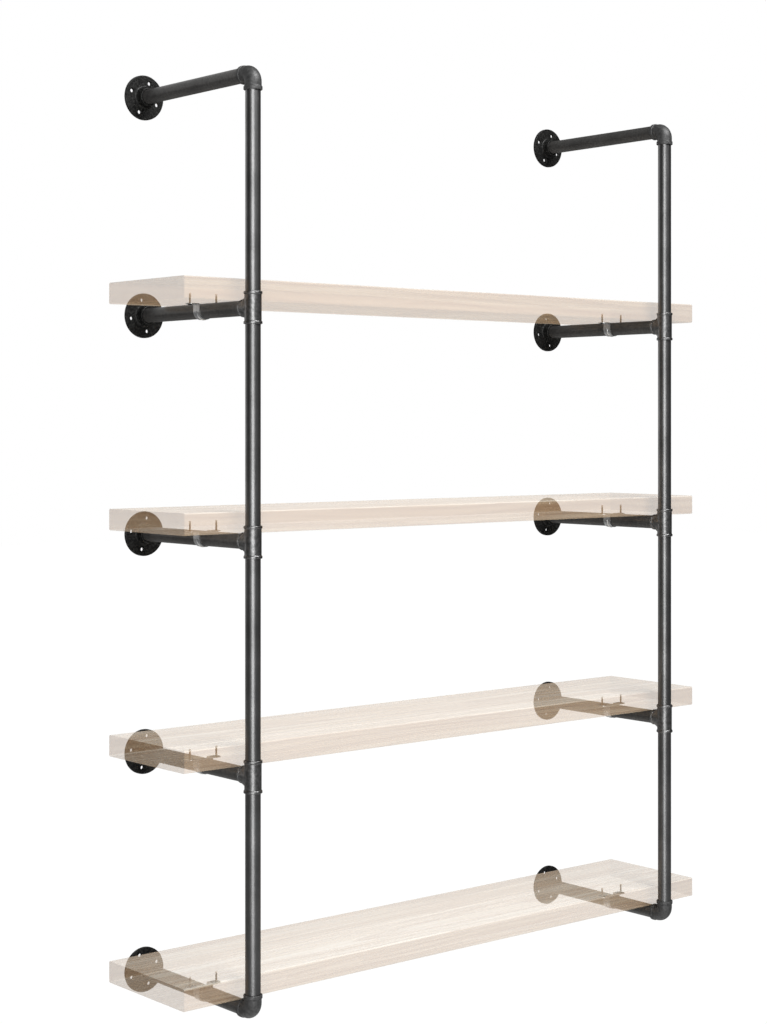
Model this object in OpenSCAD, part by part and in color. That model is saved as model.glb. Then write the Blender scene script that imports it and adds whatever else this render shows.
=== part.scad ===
// Wall shelf: four boards on two ladders of black threaded pipe.
// X runs along the boards, Y points to the wall and Z is up.
// The origin lies on the wall, midway between the ladders and
// level with the lowest arms. Levels count from the bottom up.

/* [Layout] */
// Length of a board
board_l = 1280; // [800:10:1600]
// How far a board runs on past the centre of each ladder
board_over = 120; // [60:5:160]
// Height from one arm to the next
level_h = 400; // [250:10:500]
// Arms on each ladder, the highest of which carries no board
levels = 5; // [3:1:5]
// Distance from the wall to the centre of the uprights
reach = 340; // [300:5:450]

/* [Pipe] */
// Outside diameter of the pipe
pipe_d = 26.7; // [24:0.1:30]
// Wall of the pipe
pipe_wall = 2.9; // [2:0.1:4]
// Length of pipe inside each fitting
engage = 12; // [9:0.5:13]
// Radial clearance between a pipe and its socket or strap
fit_gap = 0.1; // [0.05:0.05:0.2]

/* [Fittings] */
// How far a bead stands proud of the fitting's body
bead_rise = 1.4; // [1:0.1:3]
// Radius of a bead's rounded edges
bead_edge_r = 1; // [0.5:0.1:1]
// Radius of the cove between a bead and the body
bead_cove_r = 1; // [0.4:0.1:1]
// Depth of the lead-in at the mouth of a socket
mouth_depth = 0.8; // [0.4:0.1:1]
// Radial widening of the lead-in at the mouth of a socket
mouth_widen = 0.9; // [0.4:0.1:1]

/* [Tees] */
// Wall of a tee around its sockets
tee_wall = 1.4; // [1.3:0.1:3]
// Metal between a pipe's end and the bore that crosses it
tee_land = 2.6; // [2:0.1:5]
// Width of the beads at the two ends of the run
tee_bead_w = 4.6; // [3:0.1:6]
// Width of the collar at the end of the branch
collar_w = 4.4; // [3:0.1:6]
// How far the collar stands proud of the branch
collar_rise = 0.9; // [0.4:0.1:1.2]
// Radius of the web that spreads the branch over the run
web_r = 7; // [4:0.5:7.5]
// How much slimmer the branch is than the run, on the radius
branch_step = 0.2; // [0.1:0.1:0.4]

/* [Elbows] */
// Wall of an elbow around its sockets
elbow_wall = 1.5; // [1.3:0.1:4]
// Straight length between the bend and a pipe's end
elbow_land = 1.2; // [0.4:0.1:3]
// Width of the beads at the two ends
elbow_bead_w = 6.4; // [4:0.1:7]
// Inside radius of the bend
elbow_inner_r = 0.6; // [0.4:0.1:1]

/* [Wall flanges] */
// Diameter of the flange
flange_d = 82; // [80:1:100]
// Thickness of the flange's plate
flange_t = 5; // [4:0.5:7]
// Height of the hub's mouth above the wall
hub_h = 19; // [17:0.5:24]
// Wall of the hub at its mouth
hub_wall = 3.4; // [2.5:0.1:4]
// How much wider the hub is at its foot, on the radius
hub_taper = 1.2; // [0.4:0.1:2]
// Radius of the fillet between hub and plate
hub_fillet_r = 4; // [2:0.5:5]
// Radius of the rounded rim of the plate and hub
flange_edge_r = 1.5; // [0.5:0.1:2]
// Diameter of the opening in the wall side of the flange
back_bore_d = 22; // [18:0.5:23]
// Diameter of the four screw holes
wall_hole_d = 7; // [5:0.5:8]
// Diameter of the circle through the screw holes
wall_circle_d = 58; // [56:1:64]
// Diameter of the countersinks
countersink_d = 9.4; // [9:0.1:11]
// Turn of each level's screw holes, from the lowest flange up
hole_turns = [20, 79, 79, 11, 68]; // [0:1:90]

/* [Boards] */
// Depth of a board from front to back
board_depth = 235; // [180:5:245]
// Thickness of a board
board_t = 38; // [25:1:45]
// Radius of the eased long edges
board_edge_r = 3; // [1:0.5:6]
// Clearance between a board's front edge and the fittings
board_clear = 2; // [1:0.5:5]

/* [Pipe straps] */
// Width of a strap along the pipe
strap_w = 18; // [14:1:20]
// Thickness of the strap's steel
strap_t = 1.5; // [1:0.1:2]
// Length of each ear past the saddle
ear_l = 20; // [18:0.5:26]
// Radius of the rounded end of an ear
ear_end_r = 11.5; // [10.5:0.5:14]
// Inside radius of the bend between saddle and ear
ear_bend_r = 1; // [0.5:0.1:2]
// Distance from an ear's end to its screw hole
ear_hole_inset = 6.8; // [6:0.1:8]
// Diameter of the screw holes in the ears
ear_hole_d = 5.4; // [4.8:0.1:6]
// Width of the stiffening rib
rib_w = 5; // [4:0.1:7]
// Height of the stiffening rib
rib_h = 1; // [0.6:0.1:1.2]

/* [Strap screws] */
// Diameter of the screw's shank
screw_d = 3.5; // [3:0.1:4]
// Length of a screw from the face of its head to its tip
screw_l = 20; // [16:1:24]
// Diameter of the head
screw_head_d = 8; // [7:0.1:9]
// Thickness of the head's rim
screw_rim_t = 0.5; // [0.3:0.1:1]
// Height of the flare under the head
screw_flare_l = 3; // [2.5:0.1:4]
// Length of the pointed tip
screw_tip_l = 4; // [3:0.5:6]
// Length of each slot of the cross recess at the head's face
recess_l = 4.4; // [3:0.1:5]
// Length of each slot at the bottom of the recess
recess_foot_l = 1.8; // [1.2:0.1:2.4]
// Width of each slot of the cross recess
recess_w = 1; // [0.8:0.1:1.2]
// Depth of the cross recess
recess_depth = 2; // [1.4:0.1:2.2]
// Depth of the pilot hole past the screw's tip
pilot_extra = 1; // [0.5:0.5:3]

/* [Hidden] */
$fn = 64;
SIDES = ["left", "right"];
BOARDS = [1 : levels - 1];
// Cutting shapes run this far past the face that they open
cut = 1;

ladder_gap = board_l - 2 * board_over;

pipe_r = pipe_d / 2;
pipe_bore_d = pipe_d - 2 * pipe_wall;
socket_d = pipe_d + 2 * fit_gap;

tee_r = socket_d / 2 + tee_wall;
tee_seat = pipe_r + tee_land;
tee_reach = tee_seat + engage;
branch_r = tee_r - branch_step;

elbow_r = socket_d / 2 + elbow_wall;
elbow_bend = elbow_r + elbow_inner_r;
elbow_seat = elbow_bend + elbow_land;
elbow_reach = elbow_seat + engage;

flange_seat = hub_h - engage;
hub_mouth_r = socket_d / 2 + hub_wall;
hub_foot_r = hub_mouth_r + hub_taper;

board_front = max(tee_reach, elbow_reach) + board_clear - reach;
board_y = board_front + board_depth / 2;

saddle_r = pipe_r + fit_gap;
saddle_out_r = saddle_r + strap_t;
strap_half_l = saddle_out_r + ear_l;
ear_hole_x = strap_half_l - ear_hole_inset;
ear_low = pipe_r - strap_t;

// A screw's head flares out along an arc that starts on the shank.
// The flare stops in the ear's hole at the depth screw_seat.
screw_r = screw_d / 2;
head_l = screw_rim_t + screw_flare_l;
flare_rise = screw_head_d / 2 - screw_r;
flare_r = (pow(flare_rise, 2) + pow(screw_flare_l, 2)) / (2 * flare_rise);
seat_rise = ear_hole_d / 2 - fit_gap - screw_r;
screw_seat = head_l - sqrt(pow(flare_r, 2) - pow(flare_r - seat_rise, 2));
screw_low = ear_low - screw_seat;

function side_x(side) = (side == "left" ? -1 : 1) * ladder_gap / 2;
function level_z(k) = (k - 1) * level_h;
function has_elbow(k) = k == 1 || k == levels;
function seat(k) = has_elbow(k) ? elbow_seat : tee_seat;

// Pipe

// A length of pipe that stands on the XY plane
module pipe(l) {
    difference() {
        cylinder(d = pipe_d, h = l);
        translate([0, 0, -cut])
            cylinder(d = pipe_bore_d, h = l + 2 * cut);
    }
}

// The arm of one level, from its wall flange to its fitting
module arm(side, k) {
    color("#454443")
        translate([side_x(side), -flange_seat, level_z(k)])
            rotate([90, 0, 0])
                pipe(reach - flange_seat - seat(k));
}

// The upright between level k and the level above it
module upright(side, k) {
    low = level_z(k) + seat(k);
    high = level_z(k + 1) - seat(k + 1);
    color("#3a3a3b")
        translate([side_x(side), -reach, low])
            pipe(high - low);
}

// Fittings

// Outline of a ring that is rounded on its outer edges
module ring_outline(r, w, edge_r) {
    square([r - edge_r, w]);
    translate([0, edge_r])
        square([r, w - 2 * edge_r]);
    for (z = [edge_r, w - edge_r])
        translate([r - edge_r, z])
            circle(edge_r);
}

// Bead at a socket's mouth: the mouth lies on the XY plane and the
// cove runs up to a body of radius r
module bead(r, w, rise, cove_r) {
    rotate_extrude()
        ring_outline(r + rise, w, min(bead_edge_r, rise));
    rotate_extrude()
        translate([0, w])
            difference() {
                square([r + cove_r, cove_r]);
                translate([r + cove_r, cove_r])
                    circle(cove_r);
            }
}

// Hollow of a socket that looks up from its seat to its mouth
module socket(seat_z, mouth_z) {
    translate([0, 0, seat_z])
        cylinder(d = socket_d, h = mouth_z - seat_z + cut);
    translate([0, 0, mouth_z - mouth_depth])
        cylinder(
            d1 = socket_d,
            d2 = socket_d + 2 * mouth_widen,
            h = mouth_depth
        );
}

// Branch of a tee along Z, with a web that spreads it over the run.
// The web is a flare about the branch, kept inside two wide
// cylinders so that it is as slim as the run and tall as the flare.
module branch() {
    flare_r = tee_r + web_r;
    web_half = branch_r - branch_step;
    cheek_r = (pow(flare_r, 2) + pow(web_half, 2)) / (2 * web_half);
    cylinder(r = branch_r, h = tee_reach);
    translate([0, 0, tee_reach])
        mirror([0, 0, 1])
            bead(branch_r, collar_w, collar_rise, collar_rise);
    intersection() {
        rotate_extrude() {
            square([flare_r, tee_r]);
            translate([0, tee_r])
                difference() {
                    square([flare_r, web_r]);
                    translate([flare_r, web_r])
                        circle(web_r);
                }
        }
        translate([cheek_r - web_half, 0, 0])
            cylinder(r = cheek_r, h = tee_reach);
        translate([web_half - cheek_r, 0, 0])
            cylinder(r = cheek_r, h = tee_reach);
    }
}

// Tee with its run along Z and its branch along Y
module tee_body() {
    difference() {
        union() {
            translate([0, 0, -tee_reach])
                cylinder(r = tee_r, h = 2 * tee_reach);
            for (m = [0, 1])
                mirror([0, 0, m])
                    translate([0, 0, -tee_reach])
                        bead(tee_r, tee_bead_w, bead_rise, bead_cove_r);
            rotate([-90, 0, 0])
                branch();
        }
        translate([0, 0, -tee_reach])
            cylinder(d = pipe_bore_d, h = 2 * tee_reach);
        rotate([-90, 0, 0])
            cylinder(r = pipe_bore_d / 2 - branch_step, h = tee_reach);
        for (turn = [0, 180, -90])
            rotate([turn, 0, 0])
                socket(tee_seat, tee_reach);
    }
}

module tee(side, k) {
    color("#2f2f30")
        translate([side_x(side), -reach, level_z(k)])
            tee_body();
}

// A bend between the legs of an elbow, from Z over to Y
module bend(r) {
    translate([0, elbow_bend, elbow_bend])
        rotate([0, 90, 180])
            rotate_extrude(angle = 90)
                translate([elbow_bend, 0])
                    circle(r);
}

// Elbow with one leg up along Z and the other along Y
module elbow_body() {
    leg_l = elbow_reach - elbow_bend;
    difference() {
        union() {
            bend(elbow_r);
            for (turn = [0, -90])
                rotate([turn, 0, 0]) {
                    translate([0, 0, elbow_bend])
                        cylinder(r = elbow_r, h = leg_l);
                    translate([0, 0, elbow_reach])
                        mirror([0, 0, 1])
                            bead(elbow_r, elbow_bead_w, bead_rise, bead_cove_r);
                }
        }
        bend(pipe_bore_d / 2);
        for (turn = [0, -90])
            rotate([turn, 0, 0]) {
                translate([0, 0, elbow_bend])
                    cylinder(d = pipe_bore_d, h = leg_l);
                socket(elbow_seat, elbow_reach);
            }
    }
}

module bottom_elbow(side) {
    color("#2f2f30")
        translate([side_x(side), -reach, level_z(1)])
            elbow_body();
}

module top_elbow(side) {
    color("#2f2f30")
        translate([side_x(side), -reach, level_z(levels)])
            mirror([0, 0, 1])
                elbow_body();
}

// Half section of a wall flange, with the wall along X
module flange_outline() {
    foot_z = flange_t + hub_fillet_r;
    difference() {
        union() {
            square([flange_d / 2, flange_t - flange_edge_r]);
            square([flange_d / 2 - flange_edge_r, flange_t]);
            translate([flange_d / 2 - flange_edge_r, flange_t - flange_edge_r])
                circle(flange_edge_r);
            polygon([
                [0, 0],
                [hub_foot_r, 0],
                [hub_foot_r, flange_t],
                [hub_mouth_r, hub_h - flange_edge_r],
                [0, hub_h - flange_edge_r]
            ]);
            square([hub_mouth_r - flange_edge_r, hub_h]);
            translate([hub_mouth_r - flange_edge_r, hub_h - flange_edge_r])
                circle(flange_edge_r);
            difference() {
                square([hub_foot_r + hub_fillet_r, foot_z]);
                translate([hub_foot_r + hub_fillet_r, foot_z])
                    circle(hub_fillet_r);
            }
        }
        square([back_bore_d / 2, hub_h + cut]);
        translate([0, flange_seat])
            square([socket_d / 2, hub_h]);
    }
}

module wall_flange(side, k) {
    sink = (countersink_d - wall_hole_d) / 2;
    color("#1c1c1c")
        translate([side_x(side), 0, level_z(k)])
            rotate([90, 0, 0])
                difference() {
                    rotate_extrude()
                        flange_outline();
                    translate([0, 0, hub_h - mouth_depth])
                        cylinder(
                            d1 = socket_d,
                            d2 = socket_d + 2 * mouth_widen,
                            h = mouth_depth
                        );
                    for (turn = [0 : 90 : 270])
                        rotate([0, 0, hole_turns[k - 1] + turn])
                            translate([wall_circle_d / 2, 0, 0]) {
                                translate([0, 0, -cut])
                                    cylinder(d = wall_hole_d, h = flange_t + 2 * cut);
                                translate([0, 0, flange_t - sink])
                                    cylinder(
                                        d1 = wall_hole_d,
                                        d2 = countersink_d,
                                        h = sink
                                    );
                            }
                }
}

// Pipe straps

// Half of a strap's bent outline, seen along the pipe
module strap_outline() {
    bend_out_r = ear_bend_r + strap_t;
    difference() {
        union() {
            difference() {
                circle(saddle_out_r);
                translate([-saddle_out_r, 0])
                    square(2 * saddle_out_r);
            }
            square([saddle_out_r, pipe_r]);
            translate([0, ear_low])
                square([strap_half_l, strap_t]);
            translate([saddle_out_r, ear_low - ear_bend_r])
                difference() {
                    square(ear_bend_r);
                    translate([ear_bend_r, 0])
                        circle(ear_bend_r);
                }
        }
        circle(saddle_r);
        translate([-saddle_out_r, 0])
            square([saddle_out_r + saddle_r, pipe_r + cut]);
        translate([-saddle_out_r, -saddle_out_r])
            square([saddle_out_r, 2 * saddle_out_r]);
        translate([saddle_r, pipe_r - bend_out_r])
            difference() {
                square(bend_out_r);
                translate([bend_out_r, 0])
                    circle(bend_out_r);
            }
    }
}

// Plan of a strap, with a shallow arc at the end of each ear
module strap_plan() {
    square([2 * (strap_half_l - ear_end_r), strap_w], center = true);
    for (m = [0, 1])
        mirror([m, 0])
            intersection() {
                translate([strap_half_l - ear_end_r, 0])
                    circle(ear_end_r);
                translate([0, -strap_w / 2])
                    square([strap_half_l, strap_w]);
            }
}

// Stiffening rib round the saddle, and the groove behind it when
// depth is the thickness of the steel
module rib(depth) {
    r = (pow(rib_w / 2, 2) + pow(rib_h, 2)) / (2 * rib_h);
    rotate([90, 0, 0])
        rotate_extrude(angle = -180)
            translate([saddle_out_r + rib_h - r, 0])
                circle(r - depth);
}

module pipe_strap(side, k) {
    color("#c4c6c8")
        translate([side_x(side), board_y, level_z(k)])
            difference() {
                union() {
                    intersection() {
                        for (m = [0, 1])
                            mirror([m, 0, 0])
                                rotate([90, 0, 0])
                                    linear_extrude(strap_w, center = true)
                                        strap_outline();
                        translate([0, 0, -2 * saddle_out_r])
                            linear_extrude(4 * saddle_out_r)
                                strap_plan();
                    }
                    difference() {
                        rib(0);
                        rotate([90, 0, 0])
                            cylinder(r = saddle_r, h = strap_w, center = true);
                    }
                }
                rib(strap_t);
                for (x = [-ear_hole_x, ear_hole_x])
                    translate([x, 0, ear_low - cut])
                        cylinder(d = ear_hole_d, h = strap_t + 2 * cut);
            }
}

// Strap screws

// Trumpet head of a screw on the XY plane, grown by gap all round
module screw_head(gap) {
    rotate_extrude()
        difference() {
            square([screw_head_d / 2 + gap, head_l]);
            translate([screw_r + gap + flare_r, head_l])
                circle(flare_r);
        }
}

// Cross recess that narrows to its foot
module cross_recess() {
    intersection() {
        for (turn = [0, 90])
            rotate([0, 0, turn])
                translate([-recess_l, -recess_w / 2, -cut])
                    cube([2 * recess_l, recess_w, recess_depth + cut]);
        union() {
            translate([0, 0, -cut])
                cylinder(d = recess_l, h = cut);
            cylinder(d1 = recess_l, d2 = recess_foot_l, h = recess_depth);
        }
    }
}

// A wood screw that points up from the face of its head
module wood_screw() {
    difference() {
        union() {
            screw_head(0);
            translate([0, 0, head_l])
                cylinder(r = screw_r, h = screw_l - head_l - screw_tip_l);
            translate([0, 0, screw_l - screw_tip_l])
                cylinder(r1 = screw_r, r2 = 0, h = screw_tip_l);
        }
        cross_recess();
    }
}

// Places its children on the four screws under one board
module at_screws() {
    for (side = SIDES)
        for (x = [-ear_hole_x, ear_hole_x])
            translate([side_x(side) + x, board_y, screw_low])
                children();
}

module strap_screws(k) {
    color("#222222")
        translate([0, 0, level_z(k)])
            at_screws()
                wood_screw();
}

// Boards

// End view of a board, from its front edge to its back edge
module board_outline() {
    r = board_edge_r;
    translate([r, 0])
        square([board_depth - 2 * r, board_t]);
    translate([0, r])
        square([board_depth, board_t - 2 * r]);
    for (y = [r, board_depth - r], z = [r, board_t - r])
        translate([y, z])
            circle(r);
}

module shelf_board(k) {
    color("#e6d5c3")
        translate([0, 0, level_z(k)])
            difference() {
                translate([0, board_front, pipe_r])
                    rotate([90, 0, 90])
                        linear_extrude(board_l, center = true)
                            board_outline();
                at_screws() {
                    screw_head(fit_gap);
                    cylinder(r = screw_r + fit_gap, h = screw_l + pilot_extra);
                }
            }
}

for (s = SIDES) {
    for (k = [1 : levels]) {
        wall_flange(s, k);
        arm(s, k);
    }
    for (k = [1 : levels - 1])
        upright(s, k);
    for (k = [2 : levels - 1])
        tee(s, k);
    bottom_elbow(s);
    top_elbow(s);
    for (k = BOARDS)
        pipe_strap(s, k);
}
for (k = BOARDS) {
    shelf_board(k);
    strap_screws(k);
}
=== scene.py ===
"""Looks of the pipe wall shelf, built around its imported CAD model.

The CAD nodes stay as they are and get procedural materials. The strap
screws are replaced by threaded ones. Lengths are in metres, in the CAD's
frame: X along the boards, Y into the wall, Z up.
"""

import math

import bmesh
import bpy
from mathutils import Matrix, Vector


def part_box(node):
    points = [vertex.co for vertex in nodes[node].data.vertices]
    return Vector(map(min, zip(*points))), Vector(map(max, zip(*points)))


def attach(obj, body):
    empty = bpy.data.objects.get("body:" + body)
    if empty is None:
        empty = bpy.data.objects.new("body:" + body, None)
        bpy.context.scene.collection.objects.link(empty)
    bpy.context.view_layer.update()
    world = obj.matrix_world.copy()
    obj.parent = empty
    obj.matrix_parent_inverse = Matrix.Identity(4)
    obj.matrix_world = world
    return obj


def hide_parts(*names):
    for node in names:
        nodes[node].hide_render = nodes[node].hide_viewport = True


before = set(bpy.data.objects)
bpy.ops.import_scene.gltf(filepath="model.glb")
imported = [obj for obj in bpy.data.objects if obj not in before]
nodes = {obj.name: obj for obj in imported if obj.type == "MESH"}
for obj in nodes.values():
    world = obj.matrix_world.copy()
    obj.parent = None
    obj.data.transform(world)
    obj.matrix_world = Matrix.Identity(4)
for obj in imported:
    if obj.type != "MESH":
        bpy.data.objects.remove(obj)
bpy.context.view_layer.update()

LEVELS = sum(name.startswith("left_arm_") for name in nodes)
X, Y, Z = 0, 1, 2


def centre(name):
    """Middle of the box round one of the CAD's nodes."""
    low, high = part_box(name)
    return (low + high) / 2


LADDER_X = centre("right_upright_1").x
REACH = -centre("right_upright_1").y
LEVEL_H = centre("left_arm_2").z - centre("left_arm_1").z
MIDDLE = Vector((0.0, -REACH / 2, LEVEL_H * (LEVELS - 1) / 2))

# Camera, fitted to the ends of the arms in the photograph
FRAME_PX = (767, 1024)
CAMERA_AT = (-2.5249, -3.0757, 1.0028)
CAMERA_YAW = math.radians(-40.0)
FOCAL_PX = 1984.1
HORIZON_UP_PX = 88.8
SENSOR_MM = 36.0

# Lamps: a tall strip behind the camera and a wide box high above the front.
# A radiance of 1 is that of the white backdrop.
STRIP_AWAY = 4.4
STRIP_SIZE = (2.2, 4.1)
STRIP_RADIANCE = 4.9
HIGH_BOX_FROM_MIDDLE = (0.7, -3.7, 4.5)
HIGH_BOX_SIZE = (4.0, 2.4)
HIGH_BOX_RADIANCE = 16.3

# World: its radiance as light on the pieces and as what they mirror, and
# the cosines of the angle from straight at the wall between which the
# mirrored white backdrop fades in
AMBIENT = 0.2
MIRRORED_AMBIENT = 0.03
BACKDROP_FADE = (0.65, 0.85)

# Floor, far below the shelf. To the camera it is white: most of that is a
# glow, and a small share is lit, so that a shadow can show. FLOOR_LIT is
# how bright the lamps make white there. Away from the shelf the glow rises
# while their light falls, and mirrored rays find the plain floor.
FLOOR_Z = -2.0
FLOOR_HALF = 40.0
FLOOR_ALBEDO = 0.55
LIT_SHARE = 0.1
FLOOR_LIT = 0.65
GLOW_RISE = (2.0, 9.0)
MIRRORED_FADE = (2.2, 3.4)

# Boards. Each skin of a board stops this share of what lies behind it.
SKIN_OPACITY = 0.33
WOOD_PALE = (0.92, 0.87, 0.76)
WOOD_DEEP = (0.77, 0.67, 0.54)
WOOD_STREAK = (0.66, 0.53, 0.40)
WOOD_LATE = (0.48, 0.34, 0.24)
WOOD_FIBRE = (0.50, 0.33, 0.22)

# Tints of a board's edges and underside against its top, set by the way
# each face points: painted shade that darkens the edges and warms the
# underside. On the edges the tint is partly their own grain too.
TOP_TINT = (1.0, 1.0, 1.0)
EDGE_GRAIN_AND_SHADE_TINT = (0.58, 0.46, 0.35)
UNDER_SHADE_TINT = (1.0, 0.84, 0.63)

# Growth rings: their width and waver, the length of log that the boards
# are cut from, and the ranges of its heart's place, from the wall and from
# the height of a board's arms
RING_WIDTH = 0.0075
RING_WAVER = 0.05
LOG_LENGTH = 5.0
HEART_Y = (-0.27, -0.12)
HEART_Z = (-0.11, -0.04)

# Strap screws: lengths and radii of the CAD's screws, and their thread,
# whose ridge takes a share of its pitch
SCREW_LENGTH = 0.020
SCREW_RADIUS = 0.00175
SCREW_ROOT_RADIUS = 0.00115
SCREW_PITCH = 0.0024
SCREW_TIP = 0.004
RIDGE_SHARE = 0.45
HEAD_RADIUS = 0.004
HEAD_RIM = 0.0005
HEAD_FLARE = 0.003
HEAD_HEIGHT = HEAD_RIM + HEAD_FLARE
RECESS_HALF = 0.0022
RECESS_FOOT_HALF = 0.0009
RECESS_WIDTH = 0.001
RECESS_DEPTH = 0.002
SCREW_SIDES = 20
HEAD_STEPS = 8
THREAD_STEPS = 96
SHARP_ABOVE = math.radians(40)

# A screw is turned by its place along the board, in radians
TURN_PER_METRE = 40


# Node trees


def grey(value):
    """A colour without hue."""
    return (value, value, value)


def stretched(axis, along, across):
    """Scales of a pattern that is drawn out along one axis."""
    return tuple(along if i == axis else across for i in (X, Y, Z))


class Shader:
    """A material or world whose nodes are made and wired in one call each.
    The scale of a pattern counts its spots per metre."""

    def __init__(self, name, world=False):
        if world:
            self.material = bpy.context.scene.world = bpy.data.worlds.new(name)
        else:
            self.material = bpy.data.materials.new(name)
        self.material.use_nodes = True
        self.tree = self.material.node_tree
        self.tree.nodes.clear()
        self.out = self.add("OutputWorld" if world else "OutputMaterial")

    def add(self, kind, inputs=None, **settings):
        node = self.tree.nodes.new("ShaderNode" + kind)
        for key, value in settings.items():
            setattr(node, key, value)
        for key, value in (inputs or {}).items():
            self.set(node.inputs[key], value)
        return node

    def set(self, socket, value):
        """Links an input to another node's output, or sets its constant."""
        if isinstance(value, bpy.types.NodeSocket):
            self.tree.links.new(value, socket)
        elif socket.type == "RGBA":
            socket.default_value = (*value, 1.0)
        else:
            socket.default_value = value

    def surface(self, shader):
        self.tree.links.new(shader.outputs[0], self.out.inputs["Surface"])
        return self.material

    def math(self, operation, a, b=0.0, c=0.0):
        node = self.add("Math", {0: a, 1: b, 2: c}, operation=operation)
        return node.outputs[0]

    def coordinate(self, kind):
        return self.add("TexCoord").outputs[kind]

    def split(self, vector):
        return self.add("SeparateXYZ", {0: vector}).outputs

    def scaled(self, vector, scale):
        node = self.add("VectorMath", {0: vector, 1: scale}, operation="MULTIPLY")
        return node.outputs[0]

    def place(self, scale=(1, 1, 1)):
        """The point in metres, scaled axis by axis."""
        return self.scaled(self.coordinate("Object"), scale)

    def noise(self, vector, scale=1.0, detail=2.0, roughness=0.5):
        node = self.add("TexNoise", {
            "Vector": vector, "Scale": scale, "Detail": detail, "Roughness": roughness})
        return node.outputs["Fac"]

    def ramp(self, fac, stops):
        """Colour by position: stops are (position, colour or grey) pairs."""
        node = self.add("ValToRGB", {"Fac": fac})
        elements = node.color_ramp.elements
        while len(elements) < len(stops):
            elements.new(0.5)
        for element, (position, value) in zip(elements, stops):
            element.position = position
            colour = value if isinstance(value, tuple) else grey(value)
            element.color = (*colour, 1.0)
        return node.outputs["Color"]

    def remap(self, value, given, wanted=(0.0, 1.0)):
        """Carries one range over to another and holds it at both ends."""
        node = self.add("MapRange", {
            "Value": value, "From Min": given[0], "From Max": given[1],
            "To Min": wanted[0], "To Max": wanted[1]})
        return node.outputs["Result"]

    def mix(self, fac, a, b, blend="MIX"):
        node = self.add("Mix", data_type="RGBA", blend_type=blend)
        for name, value in (("Factor_Float", fac), ("A_Color", a), ("B_Color", b)):
            self.set(next(s for s in node.inputs if s.identifier == name), value)
        return next(s for s in node.outputs if s.identifier == "Result_Color")

    def bump(self, height, distance, strength, normal=None):
        inputs = {"Height": height, "Distance": distance, "Strength": strength}
        if normal is not None:
            inputs["Normal"] = normal
        return self.add("Bump", inputs).outputs["Normal"]

    def principled(self, inputs):
        return self.surface(self.add("BsdfPrincipled", inputs))


# Materials

# Ranges that hold nearly all the values of a noise, and most of them
NEARLY_ALL = (0.3, 0.7)
MOST = (0.35, 0.65)


def pipe_material(name, tone, tint, axis, patchy, metallic):
    """Black lacquered steel pipe, with faint draw lines along its axis and
    small patches of uneven lacquer."""
    s = Shader(name)
    patch, dark, light = (tuple(share * tone * t for t in tint) for share in (0.4, 0.8, 1.25))
    lines = s.noise(s.place(stretched(axis, along=9.0, across=900.0)), detail=3.0)
    clouds = s.noise(s.place(), 14.0, detail=3.0)
    patches = s.noise(s.place(), 230.0, detail=3.0, roughness=0.6)
    peel = s.noise(s.place(), 900.0)
    colour = s.mix(s.remap(clouds, NEARLY_ALL), dark, light)
    colour = s.mix(s.remap(patches, (0.42, 0.66), (0.0, patchy)), colour, patch)
    colour = s.mix(s.remap(lines, (0.55, 0.75), (0.0, 0.25)), colour, light)
    normal = s.bump(peel, distance=0.00002, strength=0.5)
    normal = s.bump(lines, distance=0.00001, strength=0.5, normal=normal)
    return s.principled({
        "Base Color": colour,
        "Metallic": metallic,
        "Roughness": s.remap(lines, NEARLY_ALL, (0.36, 0.41)),
        "Normal": normal})


def fitting_material(name, tone, gloss, depth, metallic):
    """Black coated malleable iron with a cast skin of a given depth. Its
    gloss is the range of its roughness."""
    s = Shader(name)
    sand = s.noise(s.place(), 1100.0, detail=4.0, roughness=0.6)
    lumps = s.noise(s.place(), 180.0)
    normal = s.bump(lumps, distance=depth * 3, strength=0.6)
    normal = s.bump(sand, distance=depth, strength=0.7, normal=normal)
    return s.principled({
        "Base Color": s.mix(s.remap(lumps, MOST), grey(0.75 * tone), grey(1.25 * tone)),
        "Metallic": metallic,
        "Roughness": s.remap(sand, NEARLY_ALL, gloss),
        "Normal": normal})


def flange_material():
    """Black coated malleable iron with the lumpy skin of a sand casting,
    rubbed paler on the tops of its lumps."""
    s = Shader("flange_iron")
    hollow, skin, rubbed = grey(0.002), grey(0.008), (0.036, 0.036, 0.034)
    sand = s.noise(s.place(), 900.0, detail=4.0, roughness=0.65)
    lumps = s.noise(s.place(), 260.0, detail=4.0, roughness=0.6)
    colour = s.mix(s.remap(sand, (0.35, 0.75), (0.0, 0.5)), hollow, skin)
    colour = s.mix(s.remap(lumps, (0.42, 0.78), (0.0, 0.8)), colour, rubbed)
    normal = s.bump(lumps, distance=0.0010, strength=0.8)
    normal = s.bump(sand, distance=0.0002, strength=0.7, normal=normal)
    return s.principled({
        "Base Color": colour,
        "Roughness": s.remap(lumps, MOST, (0.5, 0.3)),
        "Specular IOR Level": 0.16,
        "Normal": normal})


def zinc_material():
    """Bright zinc plate on pressed steel, with fine brushed streaks."""
    s = Shader("strap_zinc")
    dull, bright = (0.52, 0.53, 0.54), (0.64, 0.64, 0.63)
    streaks = s.noise(s.place(stretched(X, along=60.0, across=1500.0)), detail=3.0)
    clouds = s.noise(s.place(), 220.0)
    return s.principled({
        "Base Color": s.mix(s.remap(clouds, MOST), dull, bright),
        "Metallic": 1.0,
        "Roughness": s.remap(streaks, NEARLY_ALL, (0.28, 0.42)),
        "Normal": s.bump(streaks, distance=0.00003, strength=0.5)})


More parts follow.
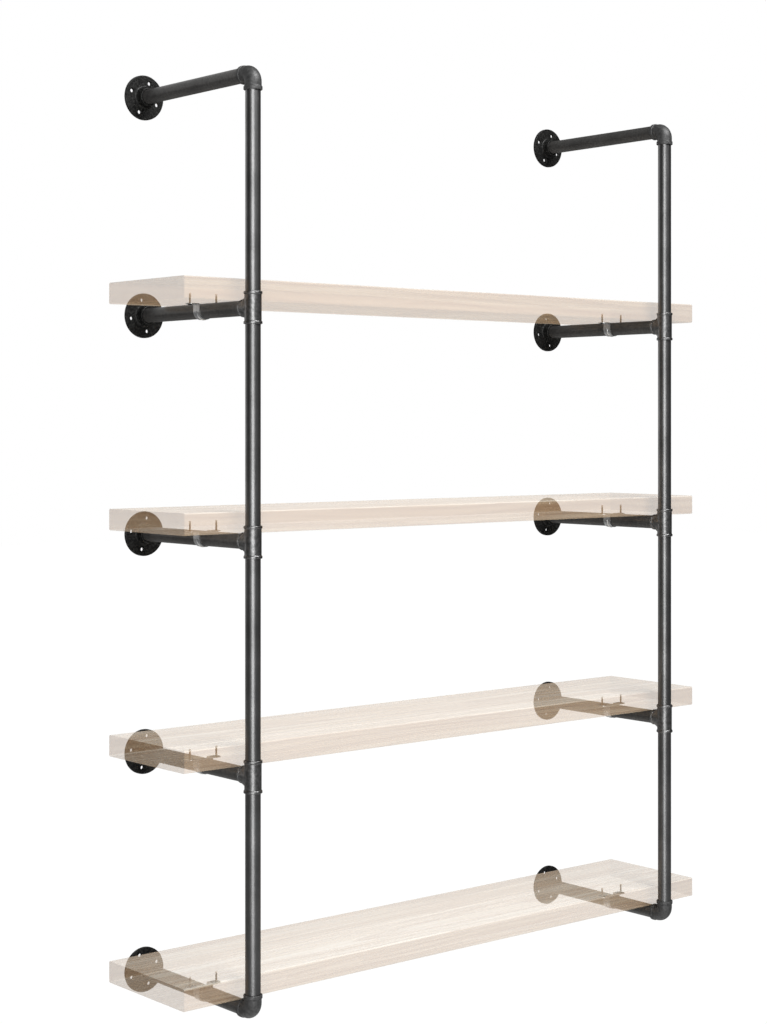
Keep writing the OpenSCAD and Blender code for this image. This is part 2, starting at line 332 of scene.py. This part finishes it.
def screw_material():
    """Black phosphate on a wood screw, rubbed paler in patches."""
    s = Shader("screw_steel")
    black, rubbed = (0.022, 0.022, 0.024), (0.085, 0.082, 0.08)
    powder = s.noise(s.place(), 2200.0, detail=3.0)
    rubs = s.noise(s.place(), 500.0)
    return s.principled({
        "Base Color": s.mix(s.remap(rubs, (0.5, 0.75), (0.0, 0.6)), black, rubbed),
        "Metallic": 0.4,
        "Roughness": s.remap(powder, NEARLY_ALL, (0.42, 0.62)),
        "Normal": s.bump(powder, distance=0.00003, strength=0.6)})


def wood_material():
    """Pale planed softwood, about half see-through, cut lengthwise from
    above the heart of its log. Every board gets its own piece of the log."""
    s = Shader("board_wood")
    x, y, z = s.split(s.coordinate("Object"))
    level = s.math("FLOOR", s.math("DIVIDE", z, LEVEL_H))
    draw = s.add("TexWhiteNoise", {"W": level}, noise_dimensions="1D").outputs["Color"]
    shift, heart_y, heart_z = s.add("SeparateColor", {0: draw}).outputs
    x = s.math("MULTIPLY_ADD", shift, LOG_LENGTH, x)
    in_log = s.add("CombineXYZ", {0: x, 1: y, 2: z}).outputs[0]

    def grain(along, across):
        return s.noise(s.scaled(in_log, stretched(X, along, across)))

    # Growth rings round the heart, which darken slowly and end at once
    rise = s.math("MULTIPLY_ADD", level, -LEVEL_H, z)
    dy = s.math("SUBTRACT", y, s.remap(heart_y, (0.0, 1.0), HEART_Y))
    dz = s.math("SUBTRACT", rise, s.remap(heart_z, (0.0, 1.0), HEART_Z))
    radius = s.math("SQRT", s.math("MULTIPLY_ADD", dy, dy, s.math("MULTIPLY", dz, dz)))
    radius = s.math("MULTIPLY_ADD", grain(along=1.1, across=5.0), RING_WAVER, radius)
    ring = s.math("FRACT", s.math("DIVIDE", radius, RING_WIDTH))
    late = s.ramp(ring, [(0.0, 0.15), (0.45, 0.0), (0.86, 0.75), (0.95, 1.0), (1.0, 0.15)])

    broad = s.remap(grain(along=0.9, across=45.0), (0.38, 0.62))
    streaks = s.remap(grain(along=2.4, across=150.0), (0.45, 0.65), (0.0, 0.7))
    fibres = grain(along=6.0, across=550.0)
    colour = s.mix(broad, WOOD_PALE, WOOD_DEEP)
    colour = s.mix(streaks, colour, WOOD_STREAK)
    colour = s.mix(s.math("MULTIPLY", late, 0.6), colour, WOOD_LATE)
    colour = s.mix(s.remap(fibres, (0.5, 0.8), (0.0, 0.28)), colour, WOOD_FIBRE)

    # Painted shade: each face is tinted by the way it points, the edges darker and the
    # underside warmer than the top, the edges partly by their own grain
    up = s.remap(s.split(s.coordinate("Normal"))[Z], (-1.0, 1.0))
    tint = s.ramp(up, [(0.1, UNDER_SHADE_TINT), (0.4, EDGE_GRAIN_AND_SHADE_TINT), (0.6, EDGE_GRAIN_AND_SHADE_TINT), (0.9, TOP_TINT)])
    normal = s.bump(fibres, distance=0.00008, strength=0.5)
    normal = s.bump(late, distance=0.00010, strength=0.5, normal=normal)
    return s.principled({
        "Base Color": s.mix(1.0, colour, tint, "MULTIPLY"),
        "Roughness": s.remap(fibres, NEARLY_ALL, (0.48, 0.62)),
        "Specular IOR Level": 0.2,
        "Alpha": SKIN_OPACITY,
        "Normal": normal})


screw_steel = screw_material()

# Each material by a part of the names of the nodes that wear it
FINISHES = {
    # One black steel pipe as lit and shaded copies: the uprights' tone is about three times the
    # arms', painted light on the uprights, painted shade on the arms
    "_upright_": pipe_material(
        "upright_pipe", tone=0.19, tint=(1.0, 1.0, 1.0), axis=Z, patchy=0.12, metallic=1.0),
    "_arm_": pipe_material(
        "arm_pipe", tone=0.078, tint=(1.03, 1.0, 0.96), axis=Y, patchy=0.6, metallic=0.5),
    # One malleable iron as lit and shaded copies: the tees' tone is about three times the
    # elbows', painted light on the tees, painted shade on the elbows
    "_tee_": fitting_material(
        "tee_iron_lit", tone=0.20, gloss=(0.34, 0.42), depth=0.00003, metallic=1.0),
    "_elbow": fitting_material(
        "elbow_iron_shaded", tone=0.068, gloss=(0.46, 0.54), depth=0.00016, metallic=0.5),
    "_wall_flange_": flange_material(),
    "_pipe_strap_": zinc_material(),
    "shelf_board_": wood_material(),
    "_strap_screws": screw_steel,
}
for name, piece in nodes.items():
    finish = next(m for part, m in FINISHES.items() if part in name)
    for material_slot in piece.material_slots:
        material_slot.material = finish


# Objects


def add_object(name, data):
    """A new object in the scene with a mesh, lamp or camera in it."""
    thing = bpy.data.objects.new(name, data)
    bpy.context.scene.collection.objects.link(thing)
    return thing


def mesh_from(bm, name):
    """A named mesh of what was built up in a bmesh."""
    mesh = bpy.data.meshes.new(name)
    bm.to_mesh(mesh)
    bm.free()
    return mesh


# Strap screws


def pairs_round(loop):
    """Each item of a closed loop with the next one."""
    return zip(loop, loop[1:] + loop[:1])


def cross_outline(half, z):
    """Corners of a cross recess at one depth, each wing as wide as the tool."""
    w = RECESS_WIDTH / 2
    wing = [(half, -w), (half, w), (w, w)]
    return [(x * c - y * d, x * d + y * c, z)
            for c, d in ((1, 0), (0, 1), (-1, 0), (0, -1)) for x, y in wing]


def head_profile():
    """(radius, height) pairs up the trumpet flank, from face to shank."""
    rise = HEAD_RADIUS - SCREW_RADIUS
    arc = (rise ** 2 + HEAD_FLARE ** 2) / (2 * rise)
    profile = [(HEAD_RADIUS, 0.0)]
    for i in range(HEAD_STEPS + 1):
        up = HEAD_FLARE * i / HEAD_STEPS
        flank = SCREW_RADIUS + arc - math.sqrt(arc ** 2 - (HEAD_FLARE - up) ** 2)
        profile.append((flank, HEAD_RIM + up))
    return profile


def thread_radius(turn, z):
    """Radius of the threaded shank at an angle in turns and a height."""
    from_ridge = abs((z / SCREW_PITCH - turn) % 1.0 - 0.5) * 2
    ridge = max(0.0, 1.0 - from_ridge / RIDGE_SHARE)
    start = min(1.0, max(0.0, (z - HEAD_HEIGHT) / SCREW_PITCH))
    taper = min(1.0, (SCREW_LENGTH - z) / SCREW_TIP)
    root = SCREW_RADIUS + (SCREW_ROOT_RADIUS - SCREW_RADIUS) * start
    return (root + (SCREW_RADIUS - root) * ridge) * taper


def screw_mesh():
    """A coarse-threaded wood screw that points up from its head's face."""
    bm = bmesh.new()

    def ring(height, radii):
        angles = (2 * math.pi * i / SCREW_SIDES for i in range(SCREW_SIDES))
        return [bm.verts.new((r * math.cos(a), r * math.sin(a), height))
                for r, a in zip(radii, angles)]

    def skin(low, high):
        for (a, b), (c, d) in zip(pairs_round(low), pairs_round(high)):
            bm.faces.new((a, b, d, c))

    loops = [ring(z, [r] * SCREW_SIDES) for r, z in head_profile()]
    for step in range(1, THREAD_STEPS):
        z = HEAD_HEIGHT + (SCREW_LENGTH - HEAD_HEIGHT) * step / THREAD_STEPS
        loops.append(ring(z, [thread_radius(i / SCREW_SIDES, z) for i in range(SCREW_SIDES)]))
    for low, high in zip(loops, loops[1:]):
        skin(low, high)
    tip = bm.verts.new((0.0, 0.0, SCREW_LENGTH))
    for a, b in pairs_round(loops[-1]):
        bm.faces.new((a, b, tip))

    mouth = [bm.verts.new(v) for v in cross_outline(RECESS_HALF, 0.0)]
    foot = [bm.verts.new(v) for v in cross_outline(RECESS_FOOT_HALF, RECESS_DEPTH)]
    skin(foot, mouth)
    bm.faces.new(foot)
    rims = [bm.edges.get(pair) or bm.edges.new(pair)
            for loop in (loops[0], mouth) for pair in pairs_round(loop)]
    bmesh.ops.triangle_fill(bm, use_beauty=True, edges=rims)
    bmesh.ops.recalc_face_normals(bm, faces=bm.faces)
    return mesh_from(bm, "strap_screw")


def dress_strap_screws():
    """Puts four threaded screws in place of each board's plain ones."""
    single = screw_mesh()
    for level in range(1, LEVELS):
        node = f"board_{level}_strap_screws"
        low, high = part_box(node)
        from_arm = high.x - HEAD_RADIUS - LADDER_X
        bm = bmesh.new()
        for x in [arm + ear for arm in (-LADDER_X, LADDER_X) for ear in (-from_arm, from_arm)]:
            first = len(bm.verts)
            bm.from_mesh(single)
            bm.verts.ensure_lookup_table()
            at = Matrix.Translation((x, (low.y + high.y) / 2, low.z))
            turn = Matrix.Rotation(TURN_PER_METRE * x, 4, "Z")
            bmesh.ops.transform(bm, matrix=at @ turn, verts=bm.verts[first:])
        mesh = mesh_from(bm, f"board_{level}_threaded_screws")
        mesh.shade_smooth()
        mesh.set_sharp_from_angle(angle=SHARP_ABOVE)
        mesh.materials.append(screw_steel)
        screws = add_object(mesh.name, mesh)
        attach(screws, "root")
        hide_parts(node)


dress_strap_screws()


# Studio


def area_lamp(name, at, size, radiance):
    """A soft box of a given width, height and radiance that looks at the
    middle of the shelf."""
    data = bpy.data.lights.new(name, "AREA")
    data.shape = "RECTANGLE"
    data.size, data.size_y = size
    data.energy = radiance * math.pi * size[0] * size[1]
    lamp = add_object(name, data)
    lamp.location = at
    lamp.rotation_mode = "QUATERNION"
    lamp.rotation_quaternion = (MIDDLE - at).to_track_quat("-Z", "Y")


def shown_white(s, path, mirrored):
    """1 for rays from the camera, and as given for mirrored ones."""
    seen = s.math("MAXIMUM", path["Is Camera Ray"], path["Is Transmission Ray"])
    return s.math("MAXIMUM", seen, s.math("MULTIPLY", path["Is Glossy Ray"], mirrored))


def make_world():
    """White behind the shelf and wherever the camera looks, dim elsewhere."""
    s = Shader("studio_world", world=True)
    path = s.add("LightPath").outputs
    to_wall = s.split(s.coordinate("Generated"))[Y]
    white = shown_white(s, path, s.remap(to_wall, BACKDROP_FADE))
    dim = s.remap(path["Is Glossy Ray"], (0.0, 1.0), (AMBIENT, MIRRORED_AMBIENT))
    strength = s.math("MAXIMUM", white, dim)
    s.surface(s.add("Background", {"Color": grey(1.0), "Strength": strength}))


def make_floor():
    """A floor that looks white with a faint shadow, and is grey to light."""
    mesh = bpy.data.meshes.new("floor")
    corners = [(x * FLOOR_HALF, y * FLOOR_HALF, FLOOR_Z)
               for x, y in ((-1, -1), (1, -1), (1, 1), (-1, 1))]
    mesh.from_pydata(corners, [], [(0, 1, 2, 3)])
    s = Shader("pale_floor")
    path = s.add("LightPath").outputs
    away = s.add("VectorMath", {0: s.coordinate("Object")}, operation="LENGTH").outputs["Value"]
    white = shown_white(s, path, s.remap(away, MIRRORED_FADE, (1.0, 0.0)))
    glow = s.add("Emission", {
        "Color": grey(1.0),
        "Strength": s.remap(away, GLOW_RISE, (1.0 - LIT_SHARE * FLOOR_LIT, 1.0))})
    lit = s.add("BsdfDiffuse", {"Color": grey(LIT_SHARE)})
    shown = s.add("AddShader", {0: glow.outputs[0], 1: lit.outputs[0]})
    plain = s.add("BsdfDiffuse", {"Color": grey(FLOOR_ALBEDO)})
    both = s.add("MixShader", {0: white, 1: plain.outputs[0], 2: shown.outputs[0]})
    mesh.materials.append(s.surface(both))
    floor = add_object("floor", mesh)


def make_camera():
    """The photograph's viewpoint, level, with its horizon off the middle."""
    data = bpy.data.cameras.new("photo_camera")
    data.sensor_width = SENSOR_MM
    data.lens = FOCAL_PX / max(FRAME_PX) * SENSOR_MM
    data.shift_y = -HORIZON_UP_PX / max(FRAME_PX)
    camera = add_object("photo_camera", data)
    camera.location = CAMERA_AT
    camera.rotation_euler = (math.radians(90.0), 0.0, CAMERA_YAW)
    bpy.context.scene.camera = camera


make_world()
make_floor()
make_camera()

view_way = (MIDDLE - Vector(CAMERA_AT)).normalized()
area_lamp("front_strip", MIDDLE - view_way * STRIP_AWAY, STRIP_SIZE, STRIP_RADIANCE)
area_lamp("high_box", MIDDLE + Vector(HIGH_BOX_FROM_MIDDLE), HIGH_BOX_SIZE, HIGH_BOX_RADIANCE)

bpy.context.scene.view_settings.view_transform = "Standard"
